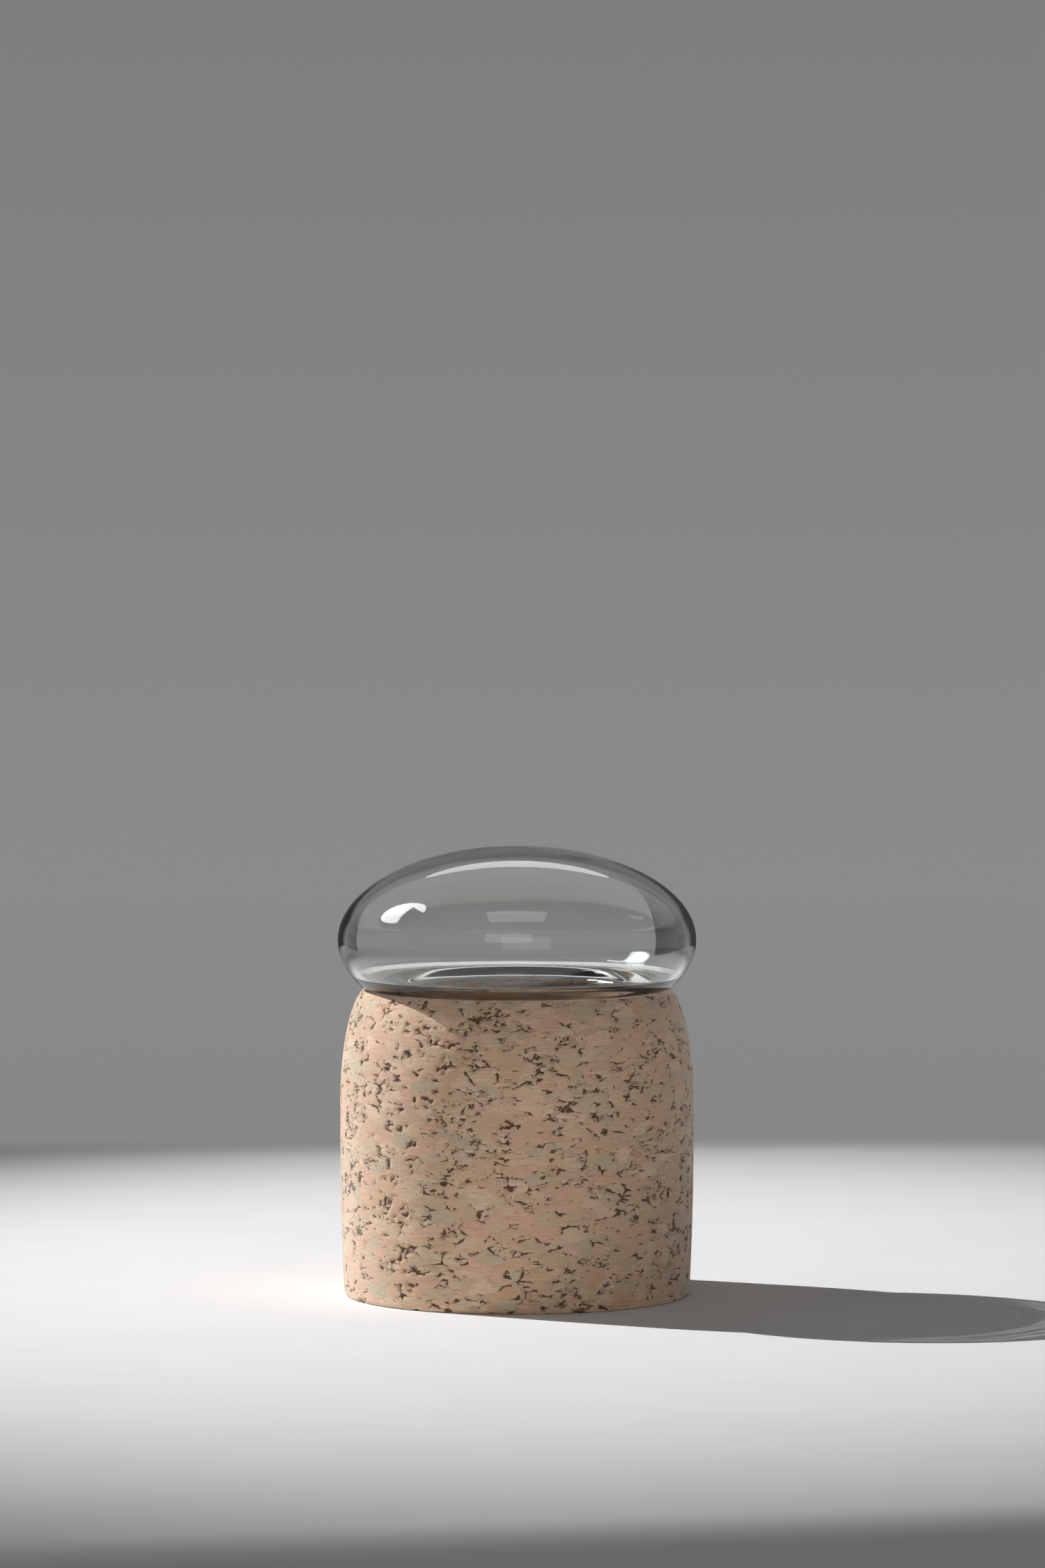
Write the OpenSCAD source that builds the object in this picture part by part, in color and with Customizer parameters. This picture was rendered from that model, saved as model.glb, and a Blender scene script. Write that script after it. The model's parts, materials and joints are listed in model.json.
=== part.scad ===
// Turned cork jar with a blown-glass dome lid.
// Millimetres, +Z up, origin at the centre of the underside.

/* [Cork body] */
// Radius of the body at its widest
body_r = 50; // [46:0.5:60]
// Height of the rim, which the lid rests on
body_h = 86.3; // [80:0.1:120]
// How much narrower the underside is than the widest part, in radius
base_taper = 1.15; // [0:0.05:3]
// Height at which the swelling side reaches full width
swell_h = 45; // [20:1:52]
// Height of the curved shoulder, from full width up to the rim
shoulder_h = 31.3; // [22:0.1:34]
// How far the shoulder's curve would draw in, if it ran on to its summit
shoulder_in = 8.62; // [2:0.02:10]
// How far above the rim that summit would be
shoulder_over = 1.2; // [0.5:0.1:12]
// Height taken by the soft edge outside the rim
rim_edge = 0.25; // [0.1:0.05:0.6]
// Radius of the soft edge round the underside
base_round = 1; // [0.3:0.1:3]

/* [Cavity] */
// Radius of the mouth and of the cavity below it
mouth_r = 35; // [28:0.5:38]
// Radius of the rounded edge at the mouth
mouth_round = 2.5; // [1:0.1:3.5]
// Thickness of the cork floor
floor_t = 10; // [6:0.5:20]
// Radius of the corner between the cavity's wall and its floor
floor_round = 4; // [1:0.5:8]

/* [Glass dome] */
// How far the dome's widest part stands out past the body's
dome_over = 0.7; // [0:0.1:3]
// Height of the dome's widest part above the rim
dome_mid_h = 14.1; // [8:0.1:20]
// Height of the crown above the widest part
crown_h = 26.6; // [18:0.1:40]
// How far below the rim the underside's curve would reach, if it ran on to its lowest point
under_over = 12.4; // [9:0.1:22]
// Height taken by the curve that turns the underside level onto the rim
seat_edge = 1.4; // [0.6:0.1:1.8]
// Height taken by the curve that turns the inside level above the rim
seat_inner = 1.5; // [0.6:0.1:2.4]
// Thickness of the glass that lies level on the rim
seat_t = 3.2; // [2.2:0.1:4]
// Thickness of the glass at the widest part
wall_t = 2; // [1.2:0.1:2.4]
// Thickness of the glass at the crown
crown_t = 2.3; // [1.2:0.1:4]

/* [Glass neck] */
// Thickness of the glass down the neck
neck_t = 3; // [1.6:0.1:3.6]
// Radius of the rounded edge between the level inside and the neck
neck_round = 2.8; // [1:0.1:4]
// Length of the neck below the rim
neck_l = 14; // [8:0.5:30]
// Gap between the neck and the mouth, in radius
neck_gap = 0.4; // [0.2:0.1:1]

/* [Hidden] */
// Angle between the points of a long curve, and of a small round
curve_step = 4;
round_step = 10;
// Exact circles in the round pieces
$fn = 180;

cork_colour = "#c9a381";
glass_colour = "#dfe6ea";

shoulder_z = body_h - shoulder_h;
shoulder_up = shoulder_h + shoulder_over;
// The neck's fillet follows the mouth's rounded edge at the neck's own gap
fillet_r = mouth_round + neck_gap;
fillet_x = mouth_r + mouth_round;
fillet_z = body_h - fillet_r;
neck_r = mouth_r - neck_gap;
dome_r = body_r + dome_over;
dome_z = body_h + dome_mid_h;
under_depth = dome_mid_h + under_over;

// Points round an ellipse about [x, z], from one angle to another, ends included
function curve(x, z, a, b, from, to, step) =
  let (n = max(1, ceil(abs(to - from) / step)))
  [for (i = [0 : n]) let (t = from + (to - from) * i / n) [x + a * cos(t), z + b * sin(t)]];

function arc(x, z, r, from, to) = curve(x, z, r, r, from, to, round_step);

// Angle of the outward normal of an ellipse at parameter t
function normal_at(a, b, t) = atan2(a * sin(t), b * cos(t));

// Outline of one surface of the dome, from the top of the axis down to its level underside.
// mid_z is its widest part, level_z the height that it turns level at, edge the turn's height
function dome_side(r, up, down, mid_z, level_z, edge) =
  let (
    turn = asin((mid_z - level_z - edge) / down),
    lean = normal_at(r, down, turn),
    edge_r = edge / (1 - sin(lean)),
    edge_x = r * cos(turn) - edge_r * cos(lean)
  )
  concat(
    curve(0, mid_z, r, up, 90, 0, curve_step),
    curve(0, mid_z, r, down, -curve_step, -turn, curve_step),
    arc(edge_x, level_z + edge_r, edge_r, -lean - round_step, -90)
  );

// Radius of the side between the underside and full width
function swell_r(z) = body_r - base_taper * pow(1 - z / swell_h, 2);

module cork_body() {
  turn = asin((shoulder_h - rim_edge) / shoulder_up);
  lean = normal_at(shoulder_in, shoulder_up, turn);
  edge_r = rim_edge / (1 - sin(lean));
  edge_x = body_r - shoulder_in * (1 - cos(turn)) - edge_r * cos(lean);
  swell_steps = 8;
  outline = concat(
    [[0, 0]],
    arc(swell_r(base_round) - base_round, base_round, base_round, -90, 0),
    [for (i = [1 : swell_steps])
      let (z = base_round + (swell_h - base_round) * i / swell_steps) [swell_r(z), z]],
    curve(body_r - shoulder_in, shoulder_z, shoulder_in, shoulder_up, 0, turn, curve_step),
    arc(edge_x, body_h - edge_r, edge_r, lean + round_step, 90),
    arc(fillet_x, body_h - mouth_round, mouth_round, 90, 180),
    arc(mouth_r - floor_round, floor_t + floor_round, floor_round, 0, -90),
    [[0, floor_t]]
  );
  color(cork_colour) rotate_extrude() polygon(outline);
}

module glass_lid() {
  lip_r = neck_t / 2;
  outside = concat(
    dome_side(dome_r, crown_h, under_depth, dome_z, body_h, seat_edge),
    arc(fillet_x, fillet_z, fillet_r, 90, 180),
    arc(neck_r - lip_r, body_h - neck_l + lip_r, lip_r, 0, -90)
  );
  inside = concat(
    dome_side(
      dome_r - wall_t, crown_h - crown_t, under_depth - wall_t,
      dome_z, body_h + seat_t, seat_inner
    ),
    arc(neck_r - neck_t + neck_round, body_h + seat_t - neck_round, neck_round, 90, 180),
    arc(neck_r - lip_r, body_h - neck_l + lip_r, lip_r, 180, 270 - round_step)
  );
  last = len(inside) - 1;
  color(glass_colour, 0.4)
    rotate_extrude() polygon(concat(outside, [for (i = [0 : last]) inside[last - i]]));
}

cork_body();
glass_lid();
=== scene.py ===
"""A turned cork jar with a blown-glass dome lid, dressed and lit on a pale table.

Sizes are written in millimetres and become Blender's metres where a mesh, lamp or camera is made.
"""

import json
import logging
import math
from dataclasses import dataclass, field
from enum import Enum
from typing import Callable

import bpy
import numpy as np
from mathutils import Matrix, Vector

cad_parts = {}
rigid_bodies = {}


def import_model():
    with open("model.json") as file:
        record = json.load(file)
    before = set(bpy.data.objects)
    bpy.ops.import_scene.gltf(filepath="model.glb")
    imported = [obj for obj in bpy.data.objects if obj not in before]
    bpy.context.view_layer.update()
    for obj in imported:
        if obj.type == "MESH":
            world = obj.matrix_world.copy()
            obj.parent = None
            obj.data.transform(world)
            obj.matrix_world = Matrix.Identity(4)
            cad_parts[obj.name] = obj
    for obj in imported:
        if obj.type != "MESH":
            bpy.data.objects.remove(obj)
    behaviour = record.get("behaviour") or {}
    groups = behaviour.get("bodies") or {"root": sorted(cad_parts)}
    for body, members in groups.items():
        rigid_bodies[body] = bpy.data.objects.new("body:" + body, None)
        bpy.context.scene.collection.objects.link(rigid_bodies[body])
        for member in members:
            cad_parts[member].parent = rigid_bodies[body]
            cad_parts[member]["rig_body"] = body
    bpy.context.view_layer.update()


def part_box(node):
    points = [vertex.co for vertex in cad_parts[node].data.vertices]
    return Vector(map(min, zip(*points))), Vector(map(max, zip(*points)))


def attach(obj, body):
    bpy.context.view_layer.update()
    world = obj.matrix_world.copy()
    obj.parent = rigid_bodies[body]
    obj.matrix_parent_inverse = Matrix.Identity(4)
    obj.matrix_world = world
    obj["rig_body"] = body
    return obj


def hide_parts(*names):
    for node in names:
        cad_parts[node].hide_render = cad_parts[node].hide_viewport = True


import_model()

MM = 0.001
LOG = logging.getLogger("cork jar")

Point = tuple[float, float]
Place = tuple[float, float, float]
Sockets = dict[str | int, object]


class Body(Enum):
    """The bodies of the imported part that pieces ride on."""

    JAR = "jar"
    LID = "lid"


class Slot(Enum):
    """The record's material slots."""

    CORK = "cork"
    GLASS = "clear_glass"


def linear(hex_colour: str, alpha: float = 1.0) -> tuple[float, float, float, float]:
    """Turns an sRGB hex colour to the linear values that Blender's sockets take.

    Args:
        hex_colour: the colour as "#rrggbb".
        alpha: the fourth value of the result.

    Returns:
        Linear red, green and blue, then alpha.
    """
    parts = [int(hex_colour[i : i + 2], 16) / 255 for i in (1, 3, 5)]
    red, green, blue = [v / 12.92 if v <= 0.04045 else ((v + 0.055) / 1.055) ** 2.4 for v in parts]
    return red, green, blue, alpha


def add_node(
    tree: bpy.types.NodeTree,
    kind: str,
    settings: dict[str, object] | None = None,
    inputs: Sockets | None = None,
    output: str | int = 0,
) -> bpy.types.NodeSocket | None:
    """Adds a node with its settings, values and links.

    Args:
        tree: the material's, world's or mesh's node tree.
        kind: Blender's name for the kind of node.
        settings: the node's own settings.
        inputs: for each input, by name or by number, a value or a socket to link from.
        output: the output to hand back, by name or by number.

    Returns:
        That output, or None for a node that has none.
    """

    def pick(sockets: bpy.types.bpy_prop_collection, key: str | int) -> bpy.types.NodeSocket:
        """Finds a socket in use by its name or number."""
        used = [s for s in sockets if s.enabled]
        return used[key] if isinstance(key, int) else next(s for s in used if s.name == key)

    node = tree.nodes.new(kind)
    for name, value in (settings or {}).items():
        setattr(node, name, value)
    for key, value in (inputs or {}).items():
        socket = pick(node.inputs, key)
        if isinstance(value, bpy.types.NodeSocket):
            tree.links.new(value, socket)
        else:
            socket.default_value = value
    return pick(node.outputs, output) if any(s.enabled for s in node.outputs) else None


def colour_stops(ramp_output: bpy.types.NodeSocket, stops: list[tuple[float, str]]) -> None:
    """Sets the stops of a colour ramp.

    Args:
        ramp_output: an output of the ramp's node.
        stops: each stop's place from 0 to 1 and its sRGB hex colour.
    """
    elements = ramp_output.node.color_ramp.elements
    while len(elements) < len(stops):
        elements.new(0.5)
    for element, (place, colour) in zip(elements, stops):
        element.position = place
        element.color = linear(colour)


def new_material(name: str) -> tuple[bpy.types.Material, bpy.types.NodeTree]:
    """Makes a material with an empty node tree.

    Args:
        name: the material's name.

    Returns:
        The material and its tree.
    """
    material = bpy.data.materials.new(name)
    material.use_nodes = True
    material.node_tree.nodes.clear()
    return material, material.node_tree


def curve(x: float, z: float, a: float, b: float, start: float, end: float, step: float) -> list[Point]:
    """Points round an ellipse in the plane through the axis.

    Args:
        x: radius of the ellipse's centre.
        z: height of its centre.
        a: its half width.
        b: its half height.
        start: first angle in degrees.
        end: last angle in degrees.
        step: most degrees between two points.

    Returns:
        The points, both ends included.
    """
    count = max(1, math.ceil(abs(end - start) / step))
    angles = [math.radians(start + (end - start) * i / count) for i in range(count + 1)]
    return [(x + a * math.cos(t), z + b * math.sin(t)) for t in angles]


def resample(points: list[Point], spacing: Callable[[float, float], float]) -> np.ndarray:
    """Spaces points evenly along a line, as close as the spacing asks for.

    Args:
        points: the line's points.
        spacing: gives the distance wanted between points at a radius and height.

    Returns:
        An array of radius and height, both ends of the line included.
    """
    line = np.array(points, float)
    fine = [line[0]]
    for a, b in zip(line, line[1:]):
        cuts = max(1, int(np.linalg.norm(b - a) / 0.05))
        fine.extend(a + (b - a) * i / cuts for i in range(1, cuts + 1))
    fine = np.array(fine)
    steps = np.linalg.norm(np.diff(fine, axis=0), axis=1)
    wanted = np.array([spacing(x, z) for x, z in fine[:-1]])
    along = np.concatenate([[0.0], np.cumsum(steps / wanted)])
    places = np.linspace(0, along[-1], max(2, round(along[-1]) + 1))
    return np.stack([np.interp(places, along, fine[:, i]) for i in (0, 1)], axis=1)


def turned_mesh(
    name: str,
    rings: np.ndarray,
    sides: int,
    shift: Callable[[np.ndarray, np.ndarray], tuple[np.ndarray, np.ndarray]] | None = None,
) -> bpy.types.Object:
    """Turns a profile about the vertical axis into a closed mesh.

    Args:
        name: the piece's name.
        rings: radius and height of each ring in millimetres, from one end on the axis to the other.
        sides: how many points go round.
        shift: gives each ring point's radius and height, from arrays of ring number and angle.

    Returns:
        The new object, smooth shaded, with normals that point out of the solid.
    """
    angle = np.arange(sides) * (2 * math.pi / sides)
    inner = np.arange(1, len(rings) - 1)
    ring_no, turn = np.meshgrid(inner, angle, indexing="ij")
    if shift is None:
        radius, height = rings[ring_no, 0], rings[ring_no, 1]
    else:
        radius, height = shift(ring_no, turn)
    body = np.stack([radius * np.cos(turn), radius * np.sin(turn), height], axis=-1).reshape(-1, 3)
    ends = np.array([[0, 0, rings[0, 1]], [0, 0, rings[-1, 1]]])
    verts = np.concatenate([body, ends]) * MM
    first, last = len(body), len(body) + 1
    faces: list[tuple[int, ...]] = []
    for i in range(sides):
        j = (i + 1) % sides
        faces.append((first, j, i))
        base = (len(inner) - 1) * sides
        faces.append((last, base + i, base + j))
        faces.extend((k * sides + i, k * sides + j, (k + 1) * sides + j, (k + 1) * sides + i)
                     for k in range(len(inner) - 1))
    mesh = bpy.data.meshes.new(name)
    mesh.from_pydata([tuple(v) for v in verts], [], faces)
    mesh.polygons.foreach_set("use_smooth", [True] * len(mesh.polygons))
    if mesh_volume(mesh) < 0:
        mesh.flip_normals()
    piece = bpy.data.objects.new(name, mesh)
    bpy.context.scene.collection.objects.link(piece)
    return piece


def mesh_volume(mesh: bpy.types.Mesh) -> float:
    """The volume that a closed mesh holds, below zero if its faces point inwards.

    Args:
        mesh: the mesh to measure.

    Returns:
        The signed volume in cubic metres.
    """
    mesh.calc_loop_triangles()
    corners = np.zeros(len(mesh.loop_triangles) * 3, np.int32)
    mesh.loop_triangles.foreach_get("vertices", corners)
    places = np.zeros(len(mesh.vertices) * 3)
    mesh.vertices.foreach_get("co", places)
    a, b, c = places.reshape(-1, 3)[corners.reshape(-1, 3)].transpose(1, 0, 2)
    return float(np.einsum("ij,ij->i", a, np.cross(b, c)).sum() / 6)


@dataclass(frozen=True)
class PressedCork:
    """Agglomerated cork: granules of bark pressed into a block with a little resin, turned and sanded.

    The eye sees matte beige to pinkish granules, flattened by the press and cut through by the
    lathe, with dark-brown gaps and crumbs between some of them and fine growth streaks within.
    """

    granule_mm: float = 6.4
    crumb_mm: float = 2.0
    press: float = 1.8
    gap_mm: float = 0.55
    pit_mm: float = 1.3
    streak_mm: float = 0.9
    granules: tuple[tuple[float, str], ...] = (
        (0.0, "#dcb594"),
        (0.2, "#e0b59a"),
        (0.4, "#d2b796"),
        (0.55, "#e8c8aa"),
        (0.7, "#deb38f"),
        (0.85, "#cbb89b"),
        (1.0, "#e4c0a2"),
    )

    def pattern(
        self, tree: bpy.types.NodeTree, place: bpy.types.NodeSocket
    ) -> dict[str, bpy.types.NodeSocket]:
        """Builds the granules' pattern, alike in a material's tree and in a mesh's own tree.

        Args:
            tree: the tree to build in.
            place: the point's place in metres.

        Returns:
            Sockets: "gap" is 0 on a granule and 1 in a gap or pit, "tint" holds three random
            values for each granule, "crumbly" is 1 where crumbs fill the space between granules,
            "flat" is the place in millimetres, stretched as the press flattened it.
        """
        scale, multiply = {"operation": "SCALE"}, {"operation": "MULTIPLY"}
        mm = add_node(tree, "ShaderNodeVectorMath", scale, {0: place, "Scale": 1 / MM})
        flat = add_node(tree, "ShaderNodeVectorMath", multiply, {0: mm, 1: (1, 1, self.press)})
        bent = flat
        for size, reach in ((5.0, 3.0), (1.3, 0.9)):
            noise = add_node(tree, "ShaderNodeTexNoise", None, {"Vector": flat, "Scale": 1 / size}, "Color")
            even = add_node(
                tree, "ShaderNodeVectorMath", {"operation": "SUBTRACT"}, {0: noise, 1: (0.5, 0.5, 0.5)}
            )
            push = add_node(tree, "ShaderNodeVectorMath", scale, {0: even, "Scale": reach})
            bent = add_node(tree, "ShaderNodeVectorMath", {"operation": "ADD"}, {0: bent, 1: push})

        def edge(size: float) -> bpy.types.NodeSocket:
            """Distance in millimetres to the nearest border between granules of a size."""
            border = {"feature": "DISTANCE_TO_EDGE"}
            cells = add_node(tree, "ShaderNodeTexVoronoi", border, {"Vector": bent, "Scale": 1 / size})
            return add_node(tree, "ShaderNodeMath", multiply, {0: cells, 1: size})

        def band(
            size: float, low: float, high: float, detail: float, to: float = 1.0
        ) -> bpy.types.NodeSocket:
            """Noise of a size, stretched so that it runs from 0 at low to a value at high."""
            noise = add_node(
                tree, "ShaderNodeTexNoise", None, {"Vector": flat, "Scale": 1 / size, "Detail": detail}, 0
            )
            return add_node(
                tree, "ShaderNodeMapRange", {"interpolation_type": "SMOOTHSTEP"},
                {"Value": noise, "From Min": low, "From Max": high, "To Max": to},
            )

        def opened(border: bpy.types.NodeSocket, width: bpy.types.NodeSocket) -> bpy.types.NodeSocket:
            """1 inside a gap of the given width and 0 away from it, with a soft edge."""
            inside = add_node(tree, "ShaderNodeMath", {"operation": "SUBTRACT"}, {0: width, 1: border})
            return add_node(
                tree, "ShaderNodeMapRange", None, {"Value": inside, "From Min": 0.0, "From Max": 0.16}
            )

        crumbly = band(8.5, 0.50, 0.60, 2.0)
        wide = opened(edge(self.granule_mm), band(4.2, 0.50, 0.70, 2.5, self.gap_mm))
        fine_width = add_node(
            tree, "ShaderNodeMath", multiply, {0: band(2.6, 0.47, 0.68, 2.0, self.gap_mm * 0.75), 1: crumbly}
        )
        fine = opened(edge(self.crumb_mm), fine_width)
        pit_noise = add_node(
            tree, "ShaderNodeTexNoise", None, {"Vector": bent, "Scale": 1 / self.pit_mm, "Detail": 1.0}, 0
        )
        pits = add_node(
            tree, "ShaderNodeMapRange", {"interpolation_type": "SMOOTHSTEP"},
            {"Value": pit_noise, "From Min": 0.73, "From Max": 0.79},
        )
        gap = add_node(tree, "ShaderNodeMath", {"operation": "MAXIMUM"}, {0: wide, 1: fine})
        gap = add_node(tree, "ShaderNodeMath", {"operation": "MAXIMUM"}, {0: gap, 1: pits})
        cell = {"feature": "F1"}
        tint = add_node(
            tree, "ShaderNodeTexVoronoi", cell, {"Vector": bent, "Scale": 1 / self.granule_mm}, "Color"
        )
        crumb = add_node(
            tree, "ShaderNodeTexVoronoi", cell, {"Vector": bent, "Scale": 1 / self.crumb_mm}, "Color"
        )
        return {"gap": gap, "tint": tint, "crumb": crumb, "crumbly": crumbly, "flat": flat}

    def material(self) -> bpy.types.Material:
        """Builds the material.

        Returns:
            The cork's material.
        """
        material, tree = new_material("pressed cork, turned and sanded")
        place = add_node(tree, "ShaderNodeTexCoord", None, None, "Object")
        parts = self.pattern(tree, place)
        chance = add_node(tree, "ShaderNodeSeparateXYZ", None, {0: parts["tint"]})
        crumb_chance = add_node(tree, "ShaderNodeSeparateXYZ", None, {0: parts["crumb"]})
        granule = add_node(tree, "ShaderNodeValToRGB", None, {0: chance})
        colour_stops(granule, list(self.granules))
        crumb = add_node(tree, "ShaderNodeValToRGB", None, {0: crumb_chance})
        colour_stops(crumb, [(0.0, "#b8936e"), (0.35, "#d9b594"), (0.7, "#ecccae"), (1.0, "#c2aa8a")])
        mixed = {"data_type": "RGBA"}
        share = add_node(tree, "ShaderNodeMath", {"operation": "MULTIPLY"}, {0: parts["crumbly"], 1: 0.55})
        colour = add_node(tree, "ShaderNodeMix", mixed, {"Factor": share, "A": granule, "B": crumb})
        stretched = add_node(
            tree, "ShaderNodeVectorMath", {"operation": "MULTIPLY"}, {0: parts["flat"], 1: (0.22, 0.22, 1.0)}
        )
        streak = add_node(
            tree, "ShaderNodeTexNoise", None,
            {"Vector": stretched, "Scale": 1 / self.streak_mm, "Detail": 3.0, "Distortion": 0.6}, 0,
        )
        shade = add_node(
            tree, "ShaderNodeMapRange", None,
            {"Value": streak, "From Min": 0.3, "From Max": 0.7, "To Min": 0.86, "To Max": 1.08},
        )
        colour = add_node(
            tree, "ShaderNodeVectorMath", {"operation": "SCALE"}, {0: colour, "Scale": shade}
        )
        colour = add_node(
            tree, "ShaderNodeMix", mixed, {"Factor": parts["gap"], "A": colour, "B": linear("#694a32")}
        )
        grain = add_node(
            tree, "ShaderNodeTexNoise", None, {"Vector": parts["flat"], "Scale": 1 / 0.35, "Detail": 3.0}, 0
        )
        height = add_node(tree, "ShaderNodeMath", {"operation": "MULTIPLY"}, {0: grain, 1: 0.06})
        height = add_node(
            tree, "ShaderNodeMath", {"operation": "MULTIPLY_ADD"}, {0: parts["gap"], 1: -0.35, 2: height}
        )
        bump = add_node(tree, "ShaderNodeBump", None, {"Height": height, "Distance": MM, "Strength": 1.0})
        rough = add_node(
            tree, "ShaderNodeMapRange", None, {"Value": grain, "To Min": 0.78, "To Max": 0.95}
        )
        surface = add_node(
            tree, "ShaderNodeBsdfPrincipled", None,
            {"Base Color": colour, "Roughness": rough, "IOR": 1.45, "Specular IOR Level": 0.3,
             "Sheen Weight": 0.5, "Sheen Roughness": 0.5, "Normal": bump},
        )
        add_node(tree, "ShaderNodeOutputMaterial", None, {"Surface": surface})
        return material


@dataclass(frozen=True)
class BlownGlass:
    """Soda-lime glass, blown and left fire-polished.

    The eye sees clear, colourless glass, with a faint swirl left by the pipe.
    """

    ior: float = 1.51
    swirl_mm: float = 16.0
    swirl_depth_mm: float = 0.035

    def material(self) -> bpy.types.Material:
        """Builds the material.

        Returns:
            The glass's material.
        """
        material, tree = new_material("soda-lime glass, blown and fire-polished")
        place = add_node(tree, "ShaderNodeTexCoord", None, None, "Object")
        mm = add_node(tree, "ShaderNodeVectorMath", {"operation": "SCALE"}, {0: place, "Scale": 1 / MM})
        swirl = add_node(
            tree, "ShaderNodeTexNoise", None, {"Vector": mm, "Scale": 1 / self.swirl_mm, "Detail": 1.0}, 0
        )
        bump = add_node(
            tree, "ShaderNodeBump", None,
            {"Height": swirl, "Distance": self.swirl_depth_mm * MM, "Strength": 1.0},
        )
        haze = add_node(
            tree, "ShaderNodeMapRange", None,
            {"Value": swirl, "From Min": 0.55, "From Max": 0.8, "To Min": 0.0, "To Max": 0.012},
        )
        surface = add_node(
            tree, "ShaderNodeBsdfPrincipled", None,
            {"Base Color": linear("#fbfdfc"), "Roughness": haze, "IOR": self.ior,
             "Transmission Weight": 1.0, "Normal": bump},
        )
        add_node(tree, "ShaderNodeOutputMaterial", None, {"Surface": surface})
        return material


@dataclass
class CorkJar:
    """The vessel: one block of pressed cork, turned outside and bored out."""

    body_r: float
    body_h: float
    base_taper: float = 1.15
    swell_h: float = 45.0
    shoulder_h: float = 31.3
    shoulder_in: float = 8.62
    shoulder_over: float = 1.2
    rim_edge: float = 0.25
    base_round: float = 1.0
    mouth_r: float = 35.0
    mouth_round: float = 2.5
    floor_t: float = 10.0
    floor_round: float = 4.0
    finish: PressedCork = field(default_factory=PressedCork)
    sides: int = 460

    @classmethod
    def from_frame(cls) -> "CorkJar":
        """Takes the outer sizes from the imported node."""
        low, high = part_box("cork_body")
        return cls(body_r=(high.x - low.x) / 2 / MM, body_h=high.z / MM)

    def profile(self) -> list[Point]:
        """The outline from the underside's centre, round the outside and the rim, to the floor's centre."""
        step = 2.0
        shoulder_up = self.shoulder_h + self.shoulder_over
        turn = math.asin((self.shoulder_h - self.rim_edge) / shoulder_up)
        lean = math.atan2(self.shoulder_in * math.sin(turn), shoulder_up * math.cos(turn))
        edge_r = self.rim_edge / (1 - math.sin(lean))
        edge_x = self.body_r - self.shoulder_in * (1 - math.cos(turn)) - edge_r * math.cos(lean)
        base_x = self.body_r - self.base_taper * (1 - self.base_round / self.swell_h) ** 2
        swell = [
            (self.body_r - self.base_taper * (1 - z / self.swell_h) ** 2, z)
            for z in np.linspace(self.base_round, self.swell_h, 16)[1:]
        ]
        rim_x = self.mouth_r + self.mouth_round
        floor_x = self.mouth_r - self.floor_round
        return (
            [(0.0, 0.0)]
            + curve(base_x - self.base_round, self.base_round, self.base_round, self.base_round, -90, 0, 15)
            + swell
            + curve(self.body_r - self.shoulder_in, self.body_h - self.shoulder_h, self.shoulder_in,
                    shoulder_up, 0, math.degrees(turn), step)
            + curve(edge_x, self.body_h - edge_r, edge_r, edge_r, math.degrees(lean), 90, 10)
            + curve(rim_x, self.body_h - self.mouth_round, self.mouth_round, self.mouth_round, 90, 180, 10)
            + curve(floor_x, self.floor_t + self.floor_round, self.floor_round, self.floor_round, 0, -90, 15)
            + [(0.0, self.floor_t)]
        )

    def spacing(self, radius: float, height: float) -> float:
        """Distance wanted between the mesh's rings: close where the surface shows, wide where it doesn't."""
        if height < 0.01 and radius < self.body_r - 4:
            return 5.0
        if radius < self.mouth_r + 0.01 and height < self.body_h - 6:
            return 3.5 if height < self.body_h - 30 else 1.6
        return 0.66

    def relief(self, piece: bpy.types.Object) -> None:
        """Sinks the gaps and pits into the mesh, with the same pattern that colours them.

        Args:
            piece: the smooth turned mesh.
        """
        tree = bpy.data.node_groups.new("cork relief", "GeometryNodeTree")
        for way in ("INPUT", "OUTPUT"):
            tree.interface.new_socket("Geometry", in_out=way, socket_type="NodeSocketGeometry")
        shape = add_node(tree, "NodeGroupInput")
        place = add_node(tree, "GeometryNodeInputPosition")
        normal = add_node(tree, "GeometryNodeInputNormal")
        parts = self.finish.pattern(tree, place)
        depth = add_node(tree, "ShaderNodeMath", {"operation": "MULTIPLY"}, {0: parts["gap"], 1: -0.45 * MM})
        offset = add_node(tree, "ShaderNodeVectorMath", {"operation": "SCALE"}, {0: normal, "Scale": depth})
        sunk = add_node(tree, "GeometryNodeSetPosition", None, {"Geometry": shape, "Offset": offset})
        add_node(tree, "NodeGroupOutput", None, {0: sunk})
        modifier = piece.modifiers.new("relief", "NODES")
        modifier.node_group = tree
        shaped = piece.evaluated_get(bpy.context.evaluated_depsgraph_get())
        mesh = bpy.data.meshes.new_from_object(shaped)
        piece.modifiers.clear()
        piece.data = mesh
        mesh.name = piece.name

    def build(self) -> bpy.types.Object:
        """Builds, dresses and places the vessel.

        Returns:
            The cork piece.
        """
        piece = turned_mesh("cork_vessel", resample(self.profile(), self.spacing), self.sides)
        self.relief(piece)
        piece.data.materials.append(self.finish.material())
        piece.cycles.is_caustics_receiver = True
        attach(piece, Body.JAR.value)
        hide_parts("cork_body")
        return piece


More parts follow.
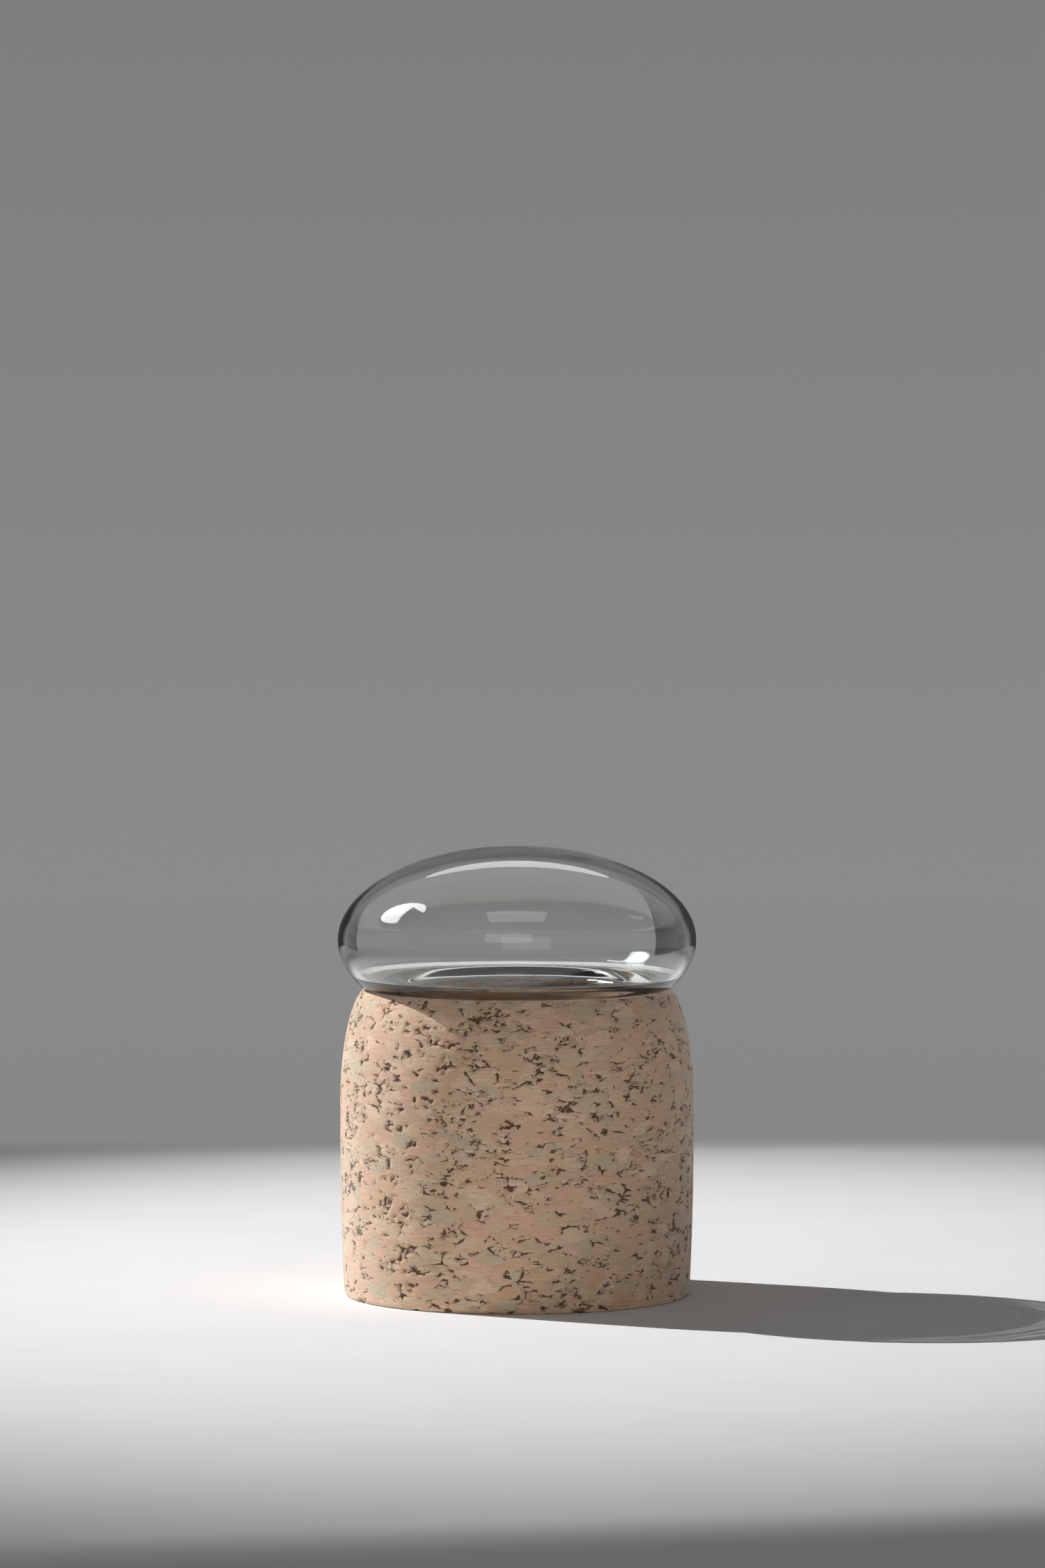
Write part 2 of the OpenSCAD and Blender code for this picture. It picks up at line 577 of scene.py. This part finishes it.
@dataclass
class GlassDome:
    """The lid: a hollow, flattened dome whose neck drops into the mouth."""

    dome_r: float
    top: float
    neck_foot: float
    rim_h: float
    dome_mid_h: float = 14.1
    under_over: float = 12.4
    seat_edge: float = 1.4
    seat_inner: float = 1.5
    seat_t: float = 3.2
    wall_t: float = 2.0
    crown_t: float = 2.3
    neck_t: float = 3.0
    neck_round: float = 2.8
    neck_gap: float = 0.4
    rest_gap: float = 0.08
    finish: BlownGlass = field(default_factory=BlownGlass)
    sides: int = 300

    @classmethod
    def from_frame(cls, jar: CorkJar) -> "GlassDome":
        """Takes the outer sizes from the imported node, and the rim's height from the jar."""
        low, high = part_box("glass_lid")
        return cls(dome_r=(high.x - low.x) / 2 / MM, top=high.z / MM, neck_foot=low.z / MM, rim_h=jar.body_h)

    def side(self, r: float, up: float, down: float, level: float, edge: float) -> list[Point]:
        """One surface of the dome, from the top of the axis down to where it turns level.

        Args:
            r: the surface's widest radius.
            up: its height above the widest part.
            down: how far below the widest part its curve would reach.
            level: the height that it turns level at.
            edge: the height taken by that turn.

        Returns:
            The surface's points.
        """
        mid = self.rim_h + self.dome_mid_h
        turn = math.asin((mid - level - edge) / down)
        lean = math.atan2(r * math.sin(turn), down * math.cos(turn))
        edge_r = edge / (1 - math.sin(lean))
        edge_x = r * math.cos(turn) - edge_r * math.cos(lean)
        return (
            curve(0, mid, r, up, 90, 0, 1)
            + curve(0, mid, r, down, -1, -math.degrees(turn), 1)
            + curve(edge_x, level + edge_r, edge_r, edge_r, -math.degrees(lean) - 3, -90, 3)
        )

    def profile(self, jar: CorkJar) -> list[Point]:
        """The outline from the crown's top, down the outside, round the lip and up the inside."""
        seat = self.rim_h + self.rest_gap
        down = self.dome_mid_h + self.under_over
        fillet_r = jar.mouth_round + self.neck_gap
        fillet_x = jar.mouth_r + jar.mouth_round
        neck_r = jar.mouth_r - self.neck_gap
        lip = self.neck_t / 2
        lip_z = self.neck_foot + lip
        crown_h = self.top - self.rim_h - self.dome_mid_h
        corner_x = neck_r - self.neck_t + self.neck_round
        corner_z = seat + self.seat_t - self.neck_round
        outside = (
            self.side(self.dome_r, crown_h, down, seat, self.seat_edge)
            + curve(fillet_x, seat - fillet_r, fillet_r, fillet_r, 90, 180, 6)
            + curve(neck_r - lip, lip_z, lip, lip, 0, -90, 10)
        )
        inside = (
            self.side(self.dome_r - self.wall_t, crown_h - self.crown_t, down - self.wall_t,
                      seat + self.seat_t, self.seat_inner)
            + curve(corner_x, corner_z, self.neck_round, self.neck_round, 90, 180, 6)
            + curve(neck_r - lip, lip_z, lip, lip, 180, 260, 10)
        )
        return outside + inside[::-1]

    def build(self, jar: CorkJar) -> bpy.types.Object:
        """Builds, dresses and places the lid.

        Args:
            jar: the vessel that it closes.

        Returns:
            The glass piece.
        """
        rings = resample(self.profile(jar), lambda x, z: 0.8)
        piece = turned_mesh("blown_dome", rings, self.sides)
        piece.data.materials.append(self.finish.material())
        piece.cycles.is_caustics_caster = True
        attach(piece, Body.LID.value)
        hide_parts("glass_lid")
        return piece


@dataclass(frozen=True)
class PaintedBoard:
    """A board rolled with matte white paint: an even, pale surface with a faint mottle from the roller."""

    colour: str = "#e9e9ea"
    mottle_mm: float = 40.0

    def material(self, half_length: float, fade: float) -> bpy.types.Material:
        """Builds the material, which softens away at the table's far edge.

        Args:
            half_length: distance from the middle to that edge, along the board's own y.
            fade: width in millimetres that it softens over.

        Returns:
            The board's material.
        """
        material, tree = new_material("matte white paint, rolled")
        place = add_node(tree, "ShaderNodeTexCoord", None, None, "Object")
        mm = add_node(tree, "ShaderNodeVectorMath", {"operation": "SCALE"}, {0: place, "Scale": 1 / MM})
        mottle = add_node(
            tree, "ShaderNodeTexNoise", None, {"Vector": mm, "Scale": 1 / self.mottle_mm, "Detail": 3.0}, 0
        )
        tone = add_node(
            tree, "ShaderNodeMapRange", None,
            {"Value": mottle, "From Min": 0.3, "From Max": 0.7, "To Min": 0.97, "To Max": 1.0},
        )
        colour = add_node(
            tree, "ShaderNodeVectorMath", {"operation": "SCALE"}, {0: linear(self.colour)[:3], "Scale": tone}
        )
        along = add_node(tree, "ShaderNodeSeparateXYZ", None, {0: mm}, "Y")
        solid = add_node(
            tree, "ShaderNodeMapRange", {"interpolation_type": "SMOOTHSTEP"},
            {"Value": along, "From Min": half_length - fade, "From Max": half_length,
             "To Min": 1.0, "To Max": 0.0},
        )
        surface = add_node(
            tree, "ShaderNodeBsdfPrincipled", None,
            {"Base Color": colour, "Roughness": 0.85, "Specular IOR Level": 0.2, "Alpha": solid},
        )
        add_node(tree, "ShaderNodeOutputMaterial", None, {"Surface": surface})
        return material


@dataclass
class Studio:
    """The table, the grey surround, the lamps and the camera."""

    back_y: float = 445.0
    front_y: float = -700.0
    half_width: float = 1200.0
    board_t: float = 30.0
    turn_deg: float = 4.0
    lamp_from: Place = (-0.669, 0.327, 0.669)
    lamp_distance: float = 3000.0
    pool: Place = (20.0, 20.0, 0.0)

    def table(self) -> None:
        """Builds the table top, turned a little about the vertical as the photographer set it."""
        half = (self.back_y - self.front_y) / 2
        middle = (self.back_y + self.front_y) / 2
        w, t = self.half_width * MM, self.board_t * MM
        square = ((-1, -1), (1, -1), (1, 1), (-1, 1))
        corners = [(x * w, y * half * MM, z) for z in (-t, 0) for x, y in square]
        faces = [(3, 2, 1, 0), (4, 5, 6, 7), (0, 1, 5, 4), (1, 2, 6, 5), (2, 3, 7, 6), (3, 0, 4, 7)]
        mesh = bpy.data.meshes.new("table")
        mesh.from_pydata(corners, [], faces)
        board = bpy.data.objects.new("table", mesh)
        bpy.context.scene.collection.objects.link(board)
        turn = math.radians(self.turn_deg)
        board.rotation_euler.z = turn
        board.location = Vector((-math.sin(turn), math.cos(turn), 0)) * middle * MM
        mesh.materials.append(PaintedBoard().material(half, 70.0))
        board.cycles.is_caustics_receiver = True

    def surround(self) -> None:
        """Sets the grey studio round the table: lighter at eye level, darker overhead."""
        world = bpy.data.worlds.new("grey studio")
        world.use_nodes = True
        tree = world.node_tree
        tree.nodes.clear()
        way = add_node(tree, "ShaderNodeTexCoord", None, None, "Generated")
        up = add_node(tree, "ShaderNodeSeparateXYZ", None, {0: way}, "Z")
        tone = add_node(tree, "ShaderNodeMapRange", None, {"Value": up, "From Min": -1.0, "From Max": 1.0})
        grey = add_node(tree, "ShaderNodeValToRGB", None, {0: tone})
        colour_stops(grey, [(0.40, "#7c7c7c"), (0.47, "#8b8b8b"), (0.50, "#858585"), (0.54, "#7d7d7d"),
                            (0.75, "#5e5e5e"), (1.0, "#525252")])
        light = add_node(tree, "ShaderNodeBackground", None, {"Color": grey})
        add_node(tree, "ShaderNodeOutputWorld", None, {"Surface": light})
        bpy.context.scene.world = world

    def lamp_place(self) -> Vector:
        """Where the hard lamp hangs, in metres."""
        return Vector(self.lamp_from).normalized() * self.lamp_distance * MM + Vector(self.pool) * MM

    def key(self) -> None:
        """Hangs the hard lamp high at the back left, with its pool of light on the table."""
        lamp = bpy.data.lights.new("key", "SPOT")
        lamp.energy = 470
        lamp.shadow_soft_size = 0.012
        lamp.spot_size = math.radians(20.5)
        lamp.spot_blend = 1.0
        lamp.cycles.is_caustics_light = True
        hung = bpy.data.objects.new("key", lamp)
        bpy.context.scene.collection.objects.link(hung)
        hung.location = self.lamp_place()
        hung.rotation_euler = Vector(self.lamp_from).to_track_quat("Z", "Y").to_euler()
        hung.scale = (1, 0.6, 1)

    def flag(self) -> None:
        """Hangs a black flag in the hard lamp's beam, whose soft edge ends the pool of light in front.

        Its shadow on the table is set first, and the flag is that shape drawn in towards the lamp.
        """
        edge_y, slope, reach, front = -432.0, 0.245, 900.0, -1500.0
        share_of_way = 0.4
        left, right = (-reach, edge_y - slope * reach), (reach, edge_y + slope * reach)
        shadow = [left, right, (reach, front), (-reach, front)]
        lamp = self.lamp_place()
        corners = [lamp.lerp(Vector((x, y, 0)) * MM, share_of_way) for x, y in shadow]
        # The flag glows a set near-black, painted shade where glass shows it; the shadow it throws on the
        # table comes from the lamp.
        self.card("flag", corners, "#0c0c0c")

    def card(self, name: str, corners: list[Vector], colour: str) -> bpy.types.Object:
        """Hangs a flat card that the camera doesn't see, though glass does. It glows with its colour
        whatever light reaches it, so that colour is painted shade where the glass shows it.

        Args:
            name: the card's name.
            corners: its corners in metres, in order.
            colour: the sRGB hex colour that it glows with, its painted shade.

        Returns:
            The card.
        """
        mesh = bpy.data.meshes.new(name)
        mesh.from_pydata([tuple(c) for c in corners], [], [tuple(range(len(corners)))])
        material, tree = new_material(f"{name}, glowing card, painted shade")
        # The card glows with a set colour instead of being lit: painted shade for the glass to show.
        paint = add_node(tree, "ShaderNodeEmission", None, {"Color": linear(colour)})
        add_node(tree, "ShaderNodeOutputMaterial", None, {"Surface": paint})
        mesh.materials.append(material)
        hung = bpy.data.objects.new(name, mesh)
        bpy.context.scene.collection.objects.link(hung)
        hung.visible_camera = False
        hung.visible_diffuse = False
        return hung

    def dark_sides(self) -> None:
        """Stands dark glowing cards behind the object, left and right, whose set glow is painted shade that
        draws the dome's dark side bands.
        """
        away, foot, head = 1500, -60, 420
        # Each colour is the dark glow that card shows: painted shade seen through and in the dome.
        for name, inner, outer, colour in (
            ("left card", -262, -900, "#303030"),
            ("right card", 151, 900, "#3c3c3c"),
        ):
            upright = ((inner, foot), (outer, foot), (outer, head), (inner, head))
            card = self.card(name, [Vector((x, away, z)) * MM for x, z in upright], colour)
            card.visible_shadow = False

    def panel(
        self,
        name: str,
        way: Place,
        distance: float,
        size: Point,
        radiance: float,
        round_one: bool,
    ) -> bpy.types.Object:
        """Hangs a lamp that is seen only as a reflection.

        Args:
            name: the lamp's name.
            way: direction to it from the object.
            distance: how far it hangs, in millimetres.
            size: its width and height in millimetres.
            radiance: how bright it is, where 1 is white.
            round_one: True for an ellipse, False for a rectangle.

        Returns:
            The lamp's object.
        """
        lamp = bpy.data.lights.new(name, "AREA")
        lamp.shape = "ELLIPSE" if round_one else "RECTANGLE"
        lamp.size, lamp.size_y = size[0] * MM, size[1] * MM
        area = lamp.size * lamp.size_y * (math.pi / 4 if round_one else 1)
        lamp.energy = radiance * math.pi * area
        hung = bpy.data.objects.new(name, lamp)
        bpy.context.scene.collection.objects.link(hung)
        aim = Vector(way).normalized()
        hung.location = aim * distance * MM + Vector((0, 0, 100 * MM))
        hung.rotation_euler = aim.to_track_quat("Z", "Y").to_euler()
        hung.visible_camera = hung.visible_diffuse = hung.visible_transmission = False
        return hung

    def reflections(self) -> None:
        """Hangs what the glass mirrors: the hard lamp's glow and the soft panels overhead."""
        self.panel("key glow", self.lamp_from, 2800, (280, 280), 60, True)
        through = self.panel("key through glass", self.lamp_from, 2900, (1300, 1300), 24, True)
        through.visible_transmission = True
        through.visible_glossy = False
        self.panel("front panel", (0.0, -0.37, 0.93), 1300, (620, 420), 1.9, False)
        self.panel("back panel", (0.0, 0.788, 0.616), 2200, (1200, 300), 2.2, True)

    def fill(self) -> None:
        """Hangs the broad soft lamp beside the camera that lifts the shaded front."""
        lamp = bpy.data.lights.new("fill", "AREA")
        lamp.size = 1.2
        lamp.energy = 5
        hung = bpy.data.objects.new("fill", lamp)
        bpy.context.scene.collection.objects.link(hung)
        way = Vector((0.1, -0.94, 0.34)).normalized()
        hung.location = way * 2.2
        hung.rotation_euler = way.to_track_quat("Z", "Y").to_euler()
        hung.visible_glossy = hung.visible_camera = False

    def camera(self) -> None:
        """Sets the camera where the photograph was taken from, found from the rim and the underside."""
        focal_px, frame_h, sensor_mm = 9500, 2251, 36
        place, down_deg = (1.57, -1867.1, 231.9), 2.68
        data = bpy.data.cameras.new("camera")
        data.sensor_fit = "VERTICAL"
        data.sensor_height = sensor_mm
        data.lens = focal_px / frame_h * sensor_mm
        data.clip_start = 0.01
        held = bpy.data.objects.new("camera", data)
        held.location = Vector(place) * MM
        held.rotation_euler = (math.radians(90 - down_deg), 0, 0)
        bpy.context.scene.collection.objects.link(held)
        bpy.context.scene.camera = held

    def build(self) -> None:
        """Sets up the whole studio and the plain view transform."""
        self.table()
        self.surround()
        self.key()
        self.flag()
        self.fill()
        self.dark_sides()
        self.reflections()
        self.camera()
        bpy.context.scene.view_settings.view_transform = "Standard"


def main() -> None:
    logging.basicConfig(level=logging.INFO, format="%(name)s: %(message)s")
    Studio().build()
    jar = CorkJar.from_frame()
    dome = GlassDome.from_frame(jar)
    for piece in (jar.build(), dome.build(jar)):
        LOG.info("%s: %d faces on %s", piece.name, len(piece.data.polygons), piece["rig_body"])


if __name__ == "__main__":
    main()
